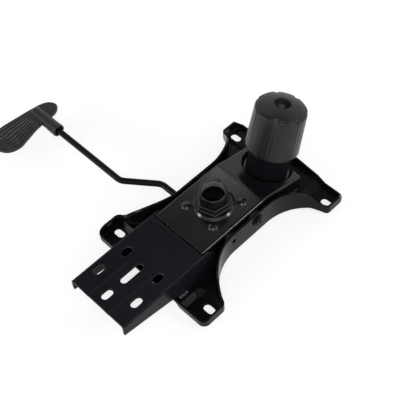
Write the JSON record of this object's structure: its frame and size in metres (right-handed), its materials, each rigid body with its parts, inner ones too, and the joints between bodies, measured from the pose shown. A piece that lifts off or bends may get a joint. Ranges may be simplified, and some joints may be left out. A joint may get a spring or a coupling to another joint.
{
  "type": "chair tilt mechanism",
  "caption": "Rocking seat mechanism for an office chair: pressed seat plate, back bracket, tilting base housing with taper socket, tension knob and lift and lock lever.",
  "frame": {"origin": "centre of the four seat slots, on the face that meets the seat", "axes": "+X to the side away from the lever, +Y to the front, +Z away from the seat, along the gas-lift socket"},
  "size_m": [0.3845, 0.3293, 0.1278],
  "materials": {
    "plate_coat": "satin black powder coat",
    "bracket_coat": "satin black powder coat",
    "housing_coat": "satin black powder coat",
    "socket_coat": "satin black powder coat",
    "weld_coat": "satin black powder coat",
    "rod_coat": "satin black powder coat",
    "sleeve_coat": "satin black powder coat",
    "pin_steel": "blackened steel",
    "zinc_steel": "zinc plated",
    "spring_steel": "oiled spring steel",
    "knob_plastic": "moulded, fine grain",
    "grip_plastic": "moulded, fine grain",
    "nylon": "natural nylon",
    "bush_acetal": "black acetal",
    "oxide_steel": "black oxide",
    "buffer_rubber": "moulded"
  },
  "bodies": {
    "seat": {"seat_plate": "plate_coat", "back_bracket": "bracket_coat", "bracket_welds": "weld_coat", "pivot_pin": "pin_steel", "lock_catch": "plate_coat", "front_buffers": "buffer_rubber", "rear_buffers": "buffer_rubber"},
    "housing": {"base_housing": "housing_coat", "housing_doubler": "housing_coat", "taper_socket": "socket_coat", "socket_collar": "socket_coat", "pivot_bushes": "bush_acetal", "lever_bushes": "bush_acetal", "lock_guide": "housing_coat", "spring_sleeve": "sleeve_coat", "spring_seat": "zinc_steel", "compression_spring": "spring_steel"},
    "bolt": {"tension_bolt": "oxide_steel"},
    "thrust": {"thrust_washer": "zinc_steel"},
    "knob": {"knob": "knob_plastic", "knob_nut": "oxide_steel", "knob_washer": "nylon"},
    "slider": {"lock_slider": "oxide_steel"},
    "lever": {"lever_rod": "rod_coat", "lever_grip": "grip_plastic", "release_arm": "oxide_steel", "rod_clips": "spring_steel"}
  },
  "joints": [
    {"name": "tilt", "type": "hinge", "parent": "seat", "child": "housing", "pos_m": [0, 0.011, 0.031], "axis": [1, 0, 0], "range_deg": [0, 12], "stiffness_Nm_per_rad": 60, "springref_deg": -5.73},
    {"name": "bolt_slide", "type": "slide", "parent": "housing", "child": "bolt", "axis": [0, 0.2672, 0.9636], "range_m": [-0.0136, 0], "deforming": ["compression_spring"]},
    {"name": "knob_advance", "type": "slide", "parent": "bolt", "child": "thrust", "axis": [0, 0.2672, 0.9636], "range_m": [-0.00375, 0], "deforming": ["compression_spring"]},
    {"name": "knob_turn", "type": "hinge", "parent": "thrust", "child": "knob", "pos_m": [0, 0.07643, 0.02769], "axis": [0, 0.2672, 0.9636], "range_deg": [-1080, 0]},
    {"name": "lever_push", "type": "slide", "parent": "housing", "child": "slider", "axis": [1, 0, 0], "range_m": [0, 0.008]},
    {"name": "lever_lift", "type": "hinge", "parent": "slider", "child": "lever", "pos_m": [0, -0.029, 0.031], "axis": [1, 0, 0], "range_deg": [0, 10]}
  ],
  "couplings": [
    {"joint": "bolt_slide", "follows": "tilt", "m_per_rad": -0.062287},
    {"joint": "knob_advance", "follows": "knob_turn", "m_per_rad": 0.00019894}
  ]
}
